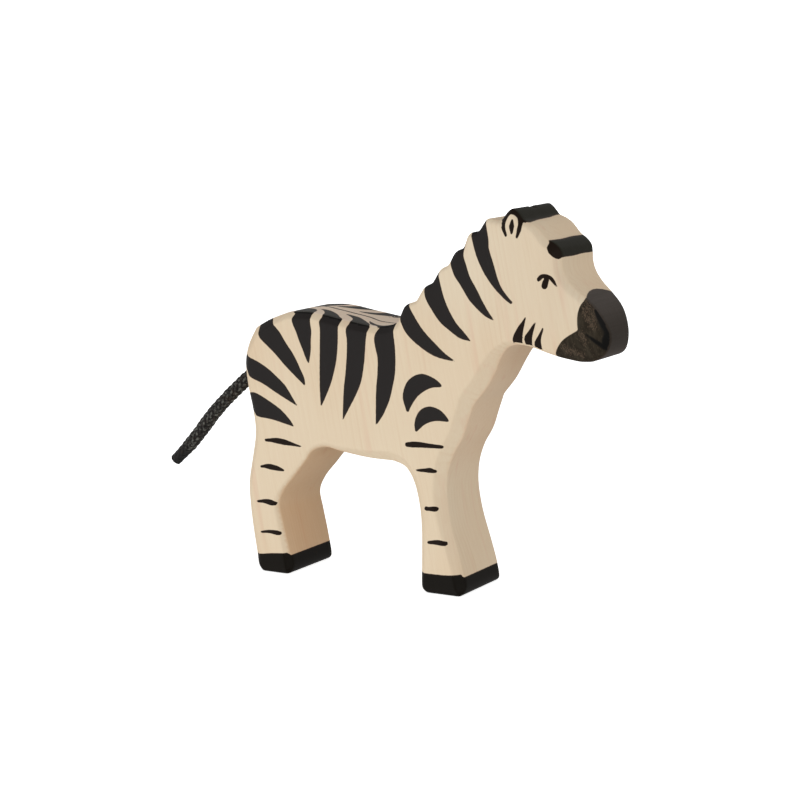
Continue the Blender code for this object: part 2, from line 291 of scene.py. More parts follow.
HEIGHT = 0.1195
BOARD = 0.028
FINE = 0.00052
EDGE_ROWS = 27
SOFT_RIDGE = 0.00025
FLANK_MESH = 0.00060
RIDGE_ROWS = (-0.0003, 0.0, 0.0003)
RIM_GAP, RIDGE_GAP, LEAST_CHAMFER = 0.00035, 0.00048, 0.0002
TUCK = 0.00014
KNIFE, KNIFE_WAVES = 0.035, (251, 97)
TAIL_WAY = (-0.7718, 0.0, -0.6359)
PIT_REACH, PIT_RADIUS, PIT_EDGE, PIT_DEPTH = 0.006, 0.0026, 0.0005, 0.003

CHAMFERS = {"sole": 0.0010, "foreleg front": 0.0026, "chest": 0.0038, "throat": 0.0041, "jaw": 0.0011,
            "nose": 0.0014, "brow": 0.0021, "ear": 0.0014, "mane": 0.0011, "back": 0.0020, "rump": 0.0026,
            "hind front": 0.0020, "arch": 0.0008, "belly": 0.0036, "foreleg rear": 0.0017}
MUZZLE_START, MUZZLE_END, MUZZLE_SHARE, MUZZLE_EASE = 360, 522, 0.63, 1.15
NOSE_ROUND_START, NOSE_ROUND = 490, 0.13
MANE_TEETH, MANE_FIRST, MANE_LAST, MANE_SPREAD = 6, (-49, 700), (180, 939), 0.92
TOOTH_RISE, TOOTH_ROUND, TIP_HEIGHT = (21, 39), 9, 0.3
TIP_SHIFTS = ((-1, 5), (2, 0), (2, 0), (0, 0), (-5, 2), (3, -1))
GROOVE_WIDTH, GROOVE_DEPTH = 0.0036, 0.0010

# Landmarks of the outline, in thousandths of the height
TOE_BACK, TOE_FRONT, CHEST_CORNER, THROAT_TOP, CHIN = (131, 0), (143, 27), (159, 501), (290, 663), (452, 627)
NOSE_TIP, FORELOCK_BOTTOM, FORELOCK_TOP = (519, 685), (402, 881), (380, 920)
EAR_FRONT, EAR_BACK, CROUP, RUMP_BEND = (302, 972), (237, 962), (-379, 704), (-485, 656)
HEEL_TOP, HEEL_SOLE, HIND_TOE_SOLE, HIND_TOE = (-489, 42), (-463, 0), (-384, 0), (-372, 27)
HOCK_FRONT, ARCH_TOP, BELLY_END = (-321, 318), (-270, 354), (-74, 332)
FORE_HEEL_TOP, FORE_HEEL_SOLE = (17, 32), (36, 0)


def mane():
    """The saw teeth from the poll down to the withers, each a steep rise with a rounded tip and a flat."""
    first, last, rise = (np.array(p, float) for p in (MANE_FIRST, MANE_LAST, TOOTH_RISE))
    steep = rise / np.linalg.norm(rise)
    feet = [first + (last - first) * (i / (MANE_TEETH - 1)) ** MANE_SPREAD for i in range(MANE_TEETH)]
    line = []
    ahead = feet[1:] + [np.array(EAR_BACK, float)]
    for foot, following, shift in zip(reversed(feet), reversed(ahead), reversed(TIP_SHIFTS)):
        tip = foot + rise + shift
        flat = (following - tip) / np.linalg.norm(following - tip)
        line += [tip + flat * TOOTH_ROUND, tip + (flat - steep) * TOOTH_ROUND * TIP_HEIGHT,
                 tip - steep * TOOTH_ROUND, foot]
    return line


def outline():
    """The zebra's outline in metres, counter-clockwise seen from its right flank, and the chamfer at each
    point."""
    sole, chest, brow, back, rump = (CHAMFERS[k] for k in ("sole", "chest", "brow", "back", "rump"))
    fore, hind, arch, belly = (CHAMFERS[k] for k in ("foreleg front", "hind front", "arch", "belly"))
    rear, throat, jaw, nose, ear = (CHAMFERS[k] for k in ("foreleg rear", "throat", "jaw", "nose", "ear"))
    stretches = (
        ((FORE_HEEL_SOLE, TOE_BACK), (sole, sole)),
        ((TOE_BACK, (140, 8), TOE_FRONT), (sole, fore)),
        ((TOE_FRONT, (135, 63), (119, 117), (100, 175), (89, 226), (84, 276), (88, 322), (103, 367),
          (128, 411), (144, 459), CHEST_CORNER), (fore, chest)),
        ((CHEST_CORNER, (196, 548), (216, 584), (239, 628), (263, 654), THROAT_TOP), (throat, throat, jaw)),
        ((THROAT_TOP, (326, 659), (362, 649), (402, 637), CHIN), (jaw, jaw)),
        ((CHIN, (484, 630), (508, 647), NOSE_TIP, (511, 720), (490, 757), (462, 785), (431, 812), (411, 838),
          (403, 862), FORELOCK_BOTTOM), (nose, brow)),
        ((FORELOCK_BOTTOM, (398, 902), FORELOCK_TOP), (brow, brow)),
        ((FORELOCK_TOP, (367, 926), (343, 951), (326, 963), EAR_FRONT), (brow, ear)),
        ((EAR_FRONT, (284, 993), (271, 1000), (257, 990), (246, 975), EAR_BACK), (ear, ear)),
        (None, (CHAMFERS["mane"], CHAMFERS["mane"])),
        ((MANE_FIRST, (-68, 690), (-115, 682), (-217, 694), (-310, 707), CROUP), (back, back)),
        ((CROUP, (-441, 680), RUMP_BEND), (back, rump)),
        ((RUMP_BEND, (-508, 613), (-519, 566), (-513, 500), (-497, 430), (-491, 375), (-502, 300),
          (-512, 235), (-509, 175), (-500, 110), HEEL_TOP), (rump, rump)),
        ((HEEL_TOP, (-479, 14), HEEL_SOLE), (rump, sole)),
        ((HEEL_SOLE, HIND_TOE_SOLE), (sole, sole)),
        ((HIND_TOE_SOLE, (-375, 8), HIND_TOE), (sole, hind)),
        ((HIND_TOE, (-385, 82), (-400, 142), (-410, 190), (-394, 228), (-358, 272), HOCK_FRONT),
         (hind, arch)),
        ((HOCK_FRONT, (-306, 340), ARCH_TOP, (-225, 346), (-145, 335), BELLY_END), (arch, belly)),
        ((BELLY_END, (-38, 320), (-12, 285), (6, 224), (14, 160), (16, 90), FORE_HEEL_TOP), (belly, rear)),
        ((FORE_HEEL_TOP, (21, 10), FORE_HEEL_SOLE), (rear, sole)),
    )
    teeth = mane()
    straight = [evenly(np.array(pair), 24)[:-1] for pair in zip(teeth, teeth[1:])]
    places, chamfers = [], []
    for knots, widths in stretches:
        line = smooth(knots) if knots else np.vstack(straight + [np.array(teeth[-1:])])
        line = line * HEIGHT / 1000.0
        span = np.linalg.norm(np.diff(line, axis=0), axis=1).sum()
        line = evenly(line, max(2, int(round(span / FINE)) + 1))
        places.append(line[:-1])
        way = np.linspace(0.0, 1.0, len(line))
        chamfers.append(np.interp(way, np.linspace(0.0, 1.0, len(widths)), widths)[:-1])
    places, chamfers = np.vstack(places), np.concatenate(chamfers)
    for _ in range(2):
        places = places * 0.5 + 0.25 * (np.roll(places, 1, axis=0) + np.roll(places, -1, axis=0))
        chamfers = chamfers * 0.5 + 0.25 * (np.roll(chamfers, 1) + np.roll(chamfers, -1))
    run = np.arange(len(places)) * FINE
    knife = 1 + KNIFE * np.sin(run * KNIFE_WAVES[0]) * np.sin(run * KNIFE_WAVES[1] + 1)
    return places, chamfers * knife


def near_line(points, line, closed):
    """Distance from each point to a line of straight sides, and the nearest place, counted along it in
    sides."""
    best = np.full(len(points), np.inf)
    where = np.zeros(len(points))
    for k in range(len(line) if closed else len(line) - 1):
        a, b = line[k], line[(k + 1) % len(line)]
        share = np.clip(((points - a) @ (b - a)) / max((b - a) @ (b - a), 1e-18), 0.0, 1.0)
        gap = np.hypot(*(points - a - share[:, None] * (b - a)).T)
        closer = gap < best
        best[closer] = gap[closer]
        where[closer] = (k + share)[closer]
    return best, where


def inside(points, loop):
    """True where a line drawn from the point to +X crosses the closed loop an odd number of times."""
    odd = np.zeros(len(points), bool)
    for a, b in zip(loop, np.roll(loop, -1, axis=0)):
        if a[1] != b[1]:
            crossed = (a[1] > points[:, 1]) != (b[1] > points[:, 1])
            odd ^= crossed & (a[0] + (points[:, 1] - a[1]) * (b[0] - a[0]) / (b[1] - a[1]) > points[:, 0])
    return odd


def shaving(x):
    """Share of the board's thickness that is left at x: whole up to the cheek, then less by a power of the
    way, and at the nose also by the square of the way."""
    x = x * 1000.0 / HEIGHT
    way = np.clip((x - MUZZLE_START) / (MUZZLE_END - MUZZLE_START), 0.0, 1.0)
    rounding = np.clip((x - NOSE_ROUND_START) / (MUZZLE_END - NOSE_ROUND_START), 0.0, 1.0)
    return 1.0 - (1.0 - MUZZLE_SHARE) * way ** MUZZLE_EASE - NOSE_ROUND * rounding ** 2


def cut_off(depth):
    """How much the knife takes off the flank where that depth of the chamfer is left to go: a softened ramp
    from nought."""
    return 0.5 * (depth + np.sqrt(depth ** 2 + SOFT_RIDGE ** 2))


def board_surface():
    """The body's points and faces: a ruled band round the edge, outline by thickness, and two flanks whose
    height over the middle plane is half the board less a softened ramp of (chamfer - distance to the
    outline). Also which points lie on the band, and which on its two rims."""
    places, chamfers = outline()
    count = len(places)
    along = np.roll(places, -1, axis=0) - np.roll(places, 1, axis=0)
    inward = np.stack([-along[:, 1], along[:, 0]], axis=1) / np.linalg.norm(along, axis=1)[:, None]
    rows = np.sort(np.concatenate([np.linspace(-0.95, 0.95, EDGE_ROWS - 4), (-1.0, -0.98, 0.98, 1.0)]))
    half = BOARD / 2 - cut_off(chamfers)
    tuck = TUCK * np.clip((np.abs(rows) - 0.94) / 0.06, 0.0, 1.0) ** 2
    flat = places[None] + inward[None] * tuck[:, None, None]
    band = np.stack([flat[:, :, 0], rows[:, None] * half[None], flat[:, :, 1]], axis=2).reshape(-1, 3)
    ear = band[:, 0] > EAR_BACK[0] * HEIGHT / 1000.0
    floor = HEIGHT - GROOVE_DEPTH + np.abs(band[:, 1]) / (GROOVE_WIDTH / 2) * GROOVE_DEPTH
    band[ear, 2] = np.minimum(band[ear, 2], floor[ear])
    ahead = np.array(TAIL_WAY)
    apart = band - np.array([TAIL_ROOT[0], 0.0, TAIL_ROOT[1]])
    off_axis = np.linalg.norm(apart - np.outer(apart @ ahead, ahead), axis=1)
    pit = (np.linalg.norm(apart, axis=1) < PIT_REACH) & (off_axis < PIT_RADIUS)
    sunk = PIT_DEPTH * np.clip((PIT_RADIUS - off_axis[pit]) / PIT_EDGE, 0.0, 1.0)
    band[pit] -= ahead * sunk[:, None]

    ring = flat[0]
    rings = []
    for shift in RIDGE_ROWS:
        width = chamfers + shift
        line = places + inward * np.clip(width, LEAST_CHAMFER, None)[:, None]
        room, _ = near_line(line, places, True)
        rings.append(line[(room > 0.97 * width) & (width > 0.0003)])
    low, high = places.min(axis=0), places.max(axis=0)
    columns = np.arange(low[0], high[0], FLANK_MESH)
    lines = np.arange(low[1], high[1], FLANK_MESH * 0.866)
    x, z = np.meshgrid(columns, lines)
    x = x + FLANK_MESH / 2 * (np.arange(len(lines)) % 2)[:, None]
    fill = np.stack([x.ravel(), z.ravel()], axis=1)
    fill = fill[inside(fill, ring)]
    edge_gap, where = near_line(fill, ring, True)
    width = np.interp(where, np.arange(count + 1), np.append(chamfers, chamfers[0]))
    fill = fill[(edge_gap > RIM_GAP) & (np.abs(edge_gap - width) > RIDGE_GAP)]
    interior = np.vstack(rings + [fill])
    sides = [(i, (i + 1) % count) for i in range(count)]
    every = np.vstack([ring, interior]) * 1000.0
    result = delaunay_2d_cdt([Vector(p) for p in every], sides, [], 0, 1e-6, True)
    origins = result[3]
    chosen = [origins[k][0] for k in range(len(result[0]))]
    corners = np.array([[chosen[k] for k in face] for face in result[2]])
    corners = corners[inside(every[corners].mean(axis=1) / 1000.0, ring)]

    gap, where = near_line(interior, places, True)
    width = np.interp(where, np.arange(count + 1), np.append(chamfers, chamfers[0]))
    height = BOARD / 2 - cut_off(width - gap)
    near = np.stack([interior[:, 0], -height, interior[:, 1]], axis=1)
    far = np.stack([interior[:, 0], height, interior[:, 1]], axis=1)
    points = np.vstack([band, near, far])
    points[:, 1] *= shaving(points[:, 0])

    last_row = (len(rows) - 1) * count
    near_start = len(band) - count
    far_start = near_start + len(interior)
    near_faces = np.where(corners < count, corners, corners + near_start)
    far_faces = np.where(corners < count, corners + last_row, corners + far_start)[:, ::-1]
    row, spot = np.meshgrid(np.arange(len(rows) - 1) * count, np.arange(count), indexing="ij")
    following = (spot + 1) % count
    quads = np.stack([row + spot, row + count + spot, row + count + following, row + following], axis=2)
    faces = quads.reshape(-1, 4).tolist() + near_faces.tolist() + far_faces.tolist()
    on_edge = np.arange(len(points)) < len(band)
    rim = (np.arange(len(points)) < count) | (np.arange(len(points)) >= last_row) & on_edge
    return points, faces, on_edge, rim


body_points, body_faces, on_edge, rim = board_surface()


# The paint: thin black water-based paint put on with a brush, on the bare wood, alike on both flanks.
# Every stripe is a loop or a stroke in millimetres; the mesh keeps how far inside the paint each point lies.

OUTSIDE = -9.0  # millimetres inside the paint, so far away from any
BACK_LEVEL = 76.0  # tells the sawn edge along the back from the one along the belly


def inside_by(points, loop):
    """Millimetres that a point lies inside a closed loop, below nought outside."""
    loop = np.asarray(loop, float)
    gap = np.full(len(points), OUTSIDE)
    close = ((points > loop.min(axis=0) - 3) & (points < loop.max(axis=0) + 3)).all(axis=1)
    distance, _ = near_line(points[close], loop, True)
    gap[close] = np.where(inside(points[close], loop), distance, -distance)
    return gap


def brush(points, knots, widths):
    """Millimetres inside a brush stroke: half its width, blended along a spline through the knots, less the
    distance to the spline."""
    line = smooth(knots, 8)
    distance, where = near_line(points, line, False)
    way = where / (len(line) - 1)
    return np.interp(way, np.linspace(0.0, 1.0, len(widths)), widths) / 2 - distance


def stripe(one_side, other_side):
    """A loop between two edges that meet at a tip; each edge starts at the wood's outline and is drawn on
    past it."""
    edges = []
    for side in (one_side, other_side):
        side = np.array(side, float)
        start = side[0] + (side[0] - side[1]) / np.linalg.norm(side[0] - side[1]) * 4.0
        edges.append(np.vstack([start, smooth(side, 8)]))
    return np.vstack([edges[0], edges[1][::-1][1:]])


RUMP_STRIPES = (
    stripe(((-60.1, 69.2), (-58, 68.5), (-55, 67.3), (-51.3, 65.2), (-47.6, 62.4), (-45.8, 60.8),
            (-41.6, 55.0)),
           ((-60.2, 64.4), (-58.8, 62.9), (-54.1, 61.1), (-49.2, 58.6), (-44.2, 56.2), (-41.6, 55.0))),
    stripe(((-59, 57.5), (-57.8, 57.8), (-55.8, 57.3), (-52.5, 55.8), (-47.6, 53.1), (-44.3, 50.2),
            (-42.7, 48.2)),
           ((-57.7, 51.2), (-55.9, 50.4), (-50.9, 49.9), (-45.9, 48.9), (-42.7, 48.2))),
    stripe(((-51.2, 81.3), (-50.6, 80.4), (-47.9, 77.8), (-45.7, 74.7), (-42.8, 71), (-40.6, 67.2),
            (-38.8, 63.6), (-38.5, 61.5)),
           ((-56, 78.5), (-55.1, 75.7), (-52.7, 73.6), (-49.4, 70.9), (-45.8, 67.5), (-42.1, 64.4),
            (-38.5, 61.5))),
)
BACK_STRIPES = (
    stripe(((-42.3, 84.4), (-43.1, 81.8), (-41.8, 78.8), (-40.5, 75.7), (-39.1, 72.7), (-37.7, 69.6),
            (-37.1, 68.6)),
           ((-36.7, 84.7), (-36.6, 81.3), (-36.2, 78.8), (-36.4, 75.4), (-36.4, 72.9), (-37.1, 68.6))),
    stripe(((-32.7, 83.4), (-33.2, 81.8), (-32.9, 80), (-32.9, 74.7), (-33, 68.4), (-33, 62.1),
            (-32.7, 55.3)),
           ((-25.9, 83.8), (-26.5, 81.3), (-26.7, 75.1), (-27.2, 70.4), (-28.5, 65), (-29.8, 61.4),
            (-32.7, 55.3))),
    stripe(((-22.8, 82.5), (-23.6, 80), (-23.2, 76.9), (-23.2, 73.8), (-23.6, 67.5), (-24.3, 61.8),
            (-24.8, 51.9)),
           ((-16.2, 81), (-16.7, 77.3), (-17.2, 71.1), (-18.1, 65.4), (-19.3, 61.9), (-24.8, 51.9))),
    stripe(((-12.4, 81.4), (-13.5, 78.1), (-13, 74.8), (-12.3, 72), (-12.4, 66.8), (-12.8, 62.7),
            (-13, 51.1)),
           ((-7.1, 82.2), (-7.1, 80.7), (-6.4, 74.9), (-6.4, 68.1), (-7.2, 63.8), (-8.4, 59.3), (-10.6, 54.6),
            (-13, 51.1))),
)
MANE_STRIPES = (
    stripe(((-2, 89.2), (-0.4, 86.6), (2, 83.1), (4.1, 80.7), (7.5, 77.7), (10.9, 74.9), (14.2, 72.9)),
           ((-4.5, 84.1), (-2.8, 81), (-0.7, 78.8), (2.4, 76.6), (5.8, 74.7), (9.2, 73.6), (14.2, 72.9))),
    stripe(((8.5, 98.1), (9.2, 95.7), (10.4, 91.8), (12.6, 87.3), (14.6, 84.4), (17.7, 81.3), (19.4, 79.4)),
           ((3.8, 93.4), (4.4, 91.2), (6.1, 88.5), (9.2, 84.6), (12.6, 82.1), (16, 80.1), (19.4, 79.4))),
    stripe(((17, 106.5), (16.9, 104.8), (17.9, 101.8), (19.1, 98.6), (21.3, 95.1), (23.6, 91.1), (26, 87.6),
            (27.3, 86.1)),
           ((12.6, 102.3), (14.2, 98.6), (16.3, 95.8), (19, 91.9), (21.7, 89.3), (24.7, 87.1), (27.3, 86.1))),
    stripe(((24.3, 114.6), (25.2, 109.9), (25.3, 107.6), (26.7, 103.5), (29.1, 96.8), (31.2, 93.9),
            (33.4, 91.7)),
           ((19.5, 111.6), (20.4, 108.2), (21.7, 104.4), (24.4, 99.5), (27.6, 95.6), (31.0, 92.6),
            (33.1, 91.2))),
)
CRESCENTS = (
    np.vstack([smooth(((-2.2, 56.3), (-3.5, 60.9), (-1.7, 65.7), (2.7, 68.1), (7.7, 66.8), (9.8, 65.2)), 8),
               smooth(((9.6, 64.8), (6, 64.2), (1.9, 61.7), (-0.6, 58.4), (-1.7, 56.2)), 8)]),
    np.vstack([smooth(((0.8, 50.5), (0.6, 53), (2.3, 56.7), (5.5, 58.3), (9.2, 57.5), (11.3, 55.8),
                       (12.2, 54.7)), 8),
               smooth(((12.0, 54.3), (8.1, 54.3), (4.4, 53.1), (1.2, 50.4)), 8)]),
)
CHEEK_DROPS = (
    np.vstack([smooth(((37.7, 87.6), (35, 84), (33.7, 81.2), (33.8, 79.2)), 8),
               smooth(((36.6, 79.4), (36.7, 82.5), (37.7, 87.6)), 8)[:-1]]),
    np.vstack([smooth(((41.1, 86.7), (38.7, 83.4), (37.5, 81.6), (37.9, 79.5)), 8),
               smooth(((39.8, 79.0), (39.9, 82.3), (41.1, 86.7)), 8)[:-1]]),
    np.vstack([smooth(((43.3, 84.8), (41.8, 82.1), (40.8, 80.2), (41.1, 78.6)), 8),
               smooth(((43.1, 78.2), (42.7, 81.3), (43.5, 84.7)), 8)]),
)
LEG_DASHES = (
    (((-53.2, 42.9), (-49.7, 43.1), (-45.1, 42.7), (-40.2, 42.0)), (0.6, 1.0, 1.6, 1.6, 0.8, 0.2)),
    (((-55.0, 34.2), (-53.1, 34.5), (-49.8, 34.3), (-46.7, 33.8)), (0.5, 0.9, 1.6, 1.4, 0.5)),
    (((-56.4, 22.8), (-53.9, 23.1), (-51.4, 22.9), (-49.8, 22.6)), (0.5, 0.9, 1.5, 1.6, 0.8)),
    (((-55.1, 13.0), (-52.1, 13.4), (-49.4, 13.3), (-48.4, 13.2)), (0.4, 0.7, 1.1, 1.4, 0.9)),
    (((-2.1, 46.0), (1.5, 46.3), (5.7, 46.3), (9.7, 46.3)), (1.2, 1.6, 1.5, 1.2, 1.0, 0.9)),
    (((1.2, 38.3), (4.5, 38.6), (6.1, 38.7), (7.4, 38.5)), (0.4, 0.9, 1.3, 1.3, 0.8)),
    (((4.6, 26.7), (5.7, 26.7), (6.9, 26.8), (7.7, 26.8)), (1.15, 0.95, 1.15, 1.35, 1.25)),
    (((5.4, 16.2), (8.5, 16.5), (10.9, 16.3)), (0.7, 1.0, 1.35, 1.4, 1.1)),
)
FACE_STROKES = (
    (((41.8, 99.0), (42.7, 99.9), (43.9, 100.2), (45.2, 99.8), (46.2, 98.8), (47.2, 97.2)),
     (0.9, 1.05, 0.8, 0.85, 0.8, 0.2)),
    (((44.3, 99.5), (44.0, 98.4), (43.7, 97.2)), (1.0, 1.5, 1.6)),
    (((31.0, 111.5), (30.1, 114.2), (30.6, 116.5), (32.0, 118.3), (33.4, 118.9)), (0.6, 1.1, 1.2, 1.2, 1.9)),
    (((34.6, 111.1), (35.3, 113.3), (35.6, 115.3), (34.9, 117.4), (33.4, 118.9)), (0.5, 1.15, 1.1, 1.2, 1.9)),
    (((33.1, 116.3), (32.9, 114.2), (32.9, 112.2)), (0.3, 1.5, 0.5)),
)
FORELOCK_END = ((45.6, 111.1), (44.6, 110.1), (44.2, 108.7), (44.9, 107.0), (46.5, 105.5), (48.6, 104.8),
                (53, 104.2), (53, 112), (46.2, 112.4))
STAIN_EDGE = ((56.3, 95.3), (54.4, 92.5), (53.4, 89.9), (53.2, 87.2), (53.4, 84.5))
STAIN_CHIN = ((53.4, 84.5), (51.4, 83.2), (49.1, 81.4), (47.7, 79.2), (47.1, 77.1), (46.9, 73.0))
NOSTRIL_AND_MOUTH = (
    (((57.3, 91.6), (58.9, 89.0), (60.2, 86.4), (61.1, 84.0), (61.2, 81.8), (60.9, 79.6)),
     (0.3, 1.4, 1.6, 1.3, 2.3, 1.8)),
    (((55.6, 83.5), (57.9, 81.8), (60.1, 80.2), (61.7, 79.0)), (0.5, 1.2, 1.3, 1.6)),
)
RUBBED_PAINT = (
    (((55.6, 92.6), (56.7, 89.4), (57.9, 85.8)), (1.8, 3.8, 2.0)),
    (((54.5, 83.6), (55.4, 81.0)), (1.6, 1.2)),
    (((48.9, 79.8), (51.5, 78.2), (55.0, 77.2)), (0.8, 1.8, 1.0)),
)

# On top of the back, as (along, out from the middle), each stripe ends in a flag swept towards the rump
BACK_FLAGS = (
    ((-47.5, 0.8), (-43.5, 2.4), (-39.5, 5.5), (-37.2, 9.0), (-36.7, 14.5), (-42.3, 14.5), (-44.4, 9.0),
     (-47.0, 4.4)),
    ((-38.8, 4.2), (-35.7, 4.4), (-31.4, 6.7), (-28.2, 10.0), (-26.0, 12.3), (-25.9, 14.5), (-32.7, 14.5),
     (-33.0, 11.3), (-34.3, 8.6), (-36.2, 6.2)),
    ((-29.9, 3.6), (-25, 4.1), (-22.2, 5.9), (-18.4, 9.3), (-16.5, 12.0), (-16.2, 14.5), (-22.8, 14.5),
     (-23.2, 11.0), (-24.8, 7.6), (-27.0, 5.6)),
    ((-20, 5.8), (-16.1, 8.6), (-12, 10.3), (-9.4, 9.9), (-7.1, 11.6), (-7.1, 14.5), (-12.4, 14.5),
     (-13.4, 12.0), (-16.9, 9.9)),
)
DORSAL_LINE = ((-47.5, 5.4), (-41.6, 3.4), (-35.6, 0.3), (-30.3, 0.0), (-22.9, -0.4), (-18, -2.3),
               (-14.6, -2.4), (-10.9, -3.7), (-6.5, -3.2))
RUMP_WRAP = 7.0
WRAP_CORNER = 1.5
SWELL = 0.15
EAR_TIPS, EARS_FROM = 115.8, 29.0
FORELOCK_LOW, FORELOCK_HIGH, FORELOCK_FROM = 105.5, 110.45, 40.0
NOSE_TOP, NOSE_FROM, CHIN_LEVEL, CHIN_FROM = 95.5, 50.0, 78.0, 47.2
FORE_HOOF = ((3.0, 10.0, 15.7, 18.3), (6.4, 6.5, 6.9, 6.9))
HIND_HOOF = ((-57.0, -51.2, -43.0), (5.6, 6.5, 7.3))
HOOF_DIP = 0.9


def painted(points, edge, ring):
    """Millimetres that each point lies inside five kinds of paint: the nearest black, which swells past each
    drawn shape and so rounds its tips, the stain of the muzzle, its nostril and mouth, the places where it is
    rubbed, and the fine strokes."""
    x, y, z = (points * 1000.0).T
    side = np.stack([x, z], axis=1)
    top = np.stack([x, np.abs(y)], axis=1)
    flank = np.full(len(points), OUTSIDE)
    for loop in RUMP_STRIPES + BACK_STRIPES + MANE_STRIPES + CRESCENTS:
        flank = np.maximum(flank, inside_by(side, loop))
    fine = np.full(len(points), OUTSIDE)
    for loop in CHEEK_DROPS + (FORELOCK_END,):
        fine = np.maximum(fine, inside_by(side, loop))
    for knots, widths in LEG_DASHES + FACE_STROKES:
        fine = np.maximum(fine, brush(side, knots, widths))
    flank = np.maximum(flank, fine) + SWELL
    rim = np.full(len(points), OUTSIDE)
    for loop in MANE_STRIPES:
        rim = np.maximum(rim, inside_by(side, loop) + SWELL)
    for loop in RUMP_STRIPES:
        to_side = np.maximum(WRAP_CORNER - inside_by(side, loop), 0.0)
        to_end = np.maximum(WRAP_CORNER - np.abs(y) + RUMP_WRAP + 0.5 * np.sin(z * 0.4), 0.0)
        rim = np.maximum(rim, WRAP_CORNER - np.hypot(to_side, to_end))
    for loop in BACK_FLAGS:
        flag = inside_by(top, smooth(loop + loop[:1], 6)[:-1])
        rim = np.maximum(rim, np.where(z > BACK_LEVEL, flag + SWELL, OUTSIDE))
    ears = np.minimum(z - EAR_TIPS - 0.022 * y + 0.05 * np.sin(y * 0.45 + 0.5), x - EARS_FROM)
    under = FORELOCK_HIGH - z + 0.06 * np.sin(y * 0.4)
    over = z - FORELOCK_LOW - 0.07 * np.sin(y * 0.5)
    forelock = np.minimum(np.minimum(under, over), x - FORELOCK_FROM)
    ahead = np.where(z > CHIN_LEVEL, x - NOSE_FROM, x - CHIN_FROM - 0.3 * np.sin(y * 0.8))
    nose = np.minimum(NOSE_TOP - 0.018 * y ** 2 - z, ahead)
    rim = np.maximum(rim, np.maximum(ears, forelock))
    fore_line = np.interp(x, *FORE_HOOF) - HOOF_DIP * edge * (x > 10)
    hind_line = np.interp(x, *HIND_HOOF) - HOOF_DIP * edge * (x > -50)
    hooves = np.where(x > -20.0, fore_line, hind_line) - z
    stained = np.vstack([smooth(STAIN_EDGE, 8)[:-1], smooth(STAIN_CHIN, 8), ((68, 73), (68, 98))])
    sides = inside_by(side, stained)
    black = np.maximum(np.where(edge, rim, flank), hooves)
    inner = edge & ~ring
    deep = np.max([brush(side, *stroke) for stroke in NOSTRIL_AND_MOUTH], axis=0)
    rubbed = np.max([brush(side, *stroke) for stroke in RUBBED_PAINT], axis=0)
    deep, rubbed, fine = (np.where(inner, OUTSIDE, kind) for kind in (deep, rubbed, fine))
    return black, np.where(edge, nose, sides), deep, rubbed, fine


black, stain, deep, rubbed, fine_strokes = painted(body_points, on_edge, rim)
root_gap = np.linalg.norm(body_points - np.array([TAIL_ROOT[0], 0.0, TAIL_ROOT[1]]), axis=1) * 1000.0
along, aside, above = (body_points * 1000.0).T
dorsal = aside - np.interp(along, *smooth(DORSAL_LINE, 8).T)
dorsal_end = np.minimum(along - DORSAL_LINE[0][0], DORSAL_LINE[-1][0] - along)
dorsal_end = np.where(on_edge & (above > BACK_LEVEL), dorsal_end, OUTSIDE)
body = piece("wooden_zebra", body_points, body_faces, {
    "black": black, "stain": stain, "deep": deep, "rubbed": rubbed, "sawn": on_edge, "dorsal": dorsal,
    "dorsal_end": dorsal_end, "root_gap": root_gap, "fine_strokes": fine_strokes}, rim)

WOOD_PALE = (0.80, 0.665, 0.485, 1.0)
WOOD_WARM = (0.76, 0.60, 0.42, 1.0)
WOOD_PINK = (0.74, 0.50, 0.355, 1.0)
# Painted shade for the sawn faces under the belly and in front of the hind leg
ARCH_SHADE = (0.86, 0.74, 0.645, 1.0)
# Painted warm light thrown back onto the sawn faces of the chest
CHEST_BOUNCE_LIGHT = (0.985, 0.915, 0.88, 1.0)
# Painted light on the wood along the top of the back
BACK_LIGHT_TINT = (1.06, 1.08, 1.20, 1.0)
# Painted light on the flanks of the neck and head
HEAD_LIGHT_TINT = (1.0, 1.03, 1.06, 1.0)
# Painted shade round the hole that holds the cord
ROOT_SHADE = (0.30, 0.19, 0.12, 1.0)
RING_TINT = (0.80, 0.66, 0.53, 1.0)
PAINT_BLACK = (0.0180, 0.0152, 0.0142, 1.0)
PAINT_SAWN = (0.0118, 0.0101, 0.0041, 1.0)
PAINT_HOOF = (0.0040, 0.0023, 0.0004, 1.0)
PAINT_THIN = (0.034, 0.019, 0.012, 1.0)
PAINT_GREY = (0.055, 0.050, 0.046, 1.0)
PAINT_FINE = (0.0100, 0.0042, 0.0016, 1.0)
STAIN_DARK = (0.0205, 0.0149, 0.0085, 1.0)
STAIN_LIGHT = (0.0415, 0.0324, 0.0205, 1.0)
STAIN_RUBBED = (0.17, 0.115, 0.078, 1.0)
STAIN_DEEP = (0.003, 0.0025, 0.002, 1.0)
FRONT_TOP = (0.062, 0.0495, 0.0412, 1.0)
FRONT_MIDDLE = (0.034, 0.025, 0.0182, 1.0)
FRONT_BOTTOM = (0.050, 0.0345, 0.0242, 1.0)
PITH = (-0.075, 0.065)
RING_STEP = 0.0012
LEAN = 0.20

